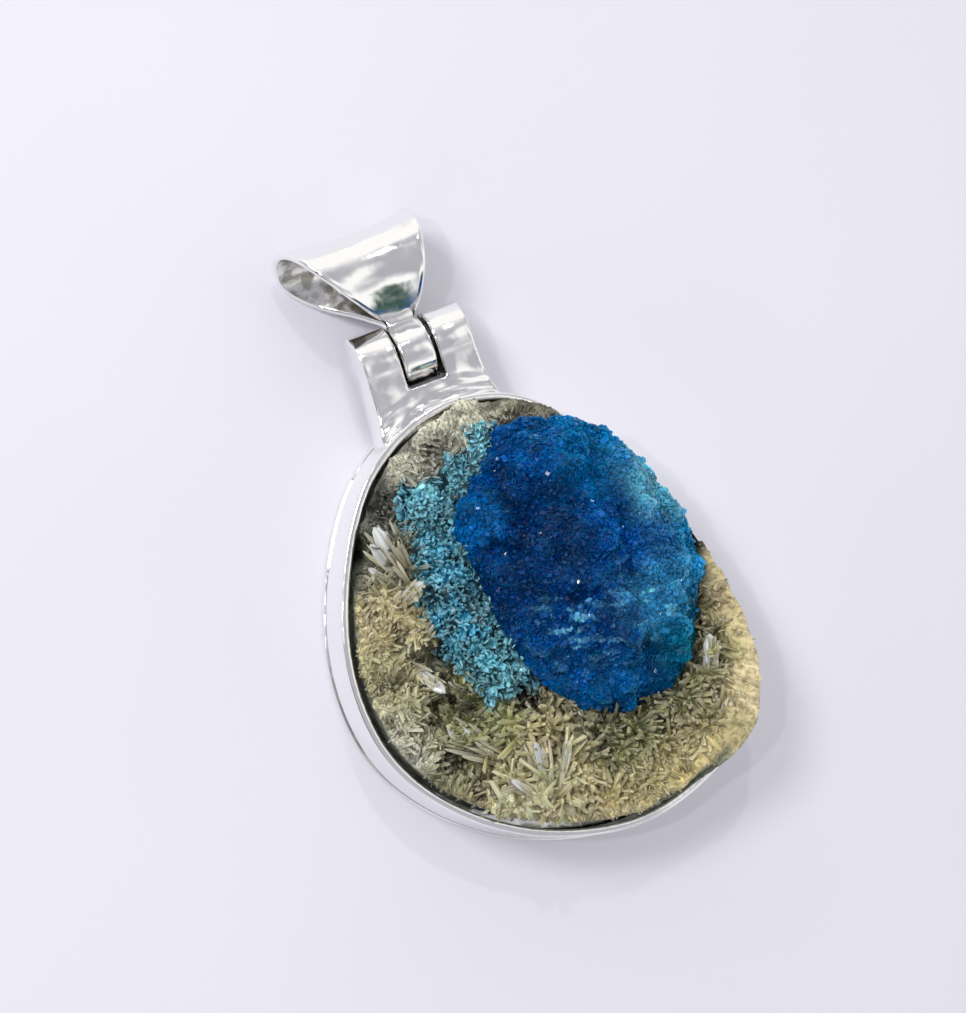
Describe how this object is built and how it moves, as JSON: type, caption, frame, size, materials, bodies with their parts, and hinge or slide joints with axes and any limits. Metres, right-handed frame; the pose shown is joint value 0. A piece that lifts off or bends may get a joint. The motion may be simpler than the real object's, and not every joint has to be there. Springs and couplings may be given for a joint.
{
  "type": "cavansite specimen pendant",
  "caption": "Deep blue cavansite cluster on a cream stilbite slab, held in an egg-shaped silver bezel that hangs from a tapered hinged bail.",
  "frame": {"origin": "middle of the back plate's flat underside, where the box of the egg-shaped outline has its middle", "axes": "+Y runs up the pendant from the cup to the bail, +Z points out of its face, +X to the right of the face"},
  "size_m": [0.0349, 0.0569, 0.0148],
  "materials": {
    "silver": "polished silver",
    "pin": "filed flush",
    "stilbite": "vitreous bladed crystals with dark crevices",
    "cavansite": "vitreous deep blue crystals",
    "pale_cavansite": "small pale blue crystals"
  },
  "bodies": {
    "setting": {"back_plate": "silver", "bezel_wall": "silver", "hinge_yoke": "silver", "hinge_pin": "pin", "stilbite_matrix": "stilbite", "cavansite_cluster": "cavansite", "cavansite_druse": "pale_cavansite"},
    "bail": {"bail": "silver"}
  },
  "joints": [
    {"name": "bail_swing", "type": "hinge", "parent": "setting", "child": "bail", "pos_m": [-0.001, 0.0249, 0.0041], "axis": [1, 0, 0], "range_deg": [0, 95]}
  ]
}
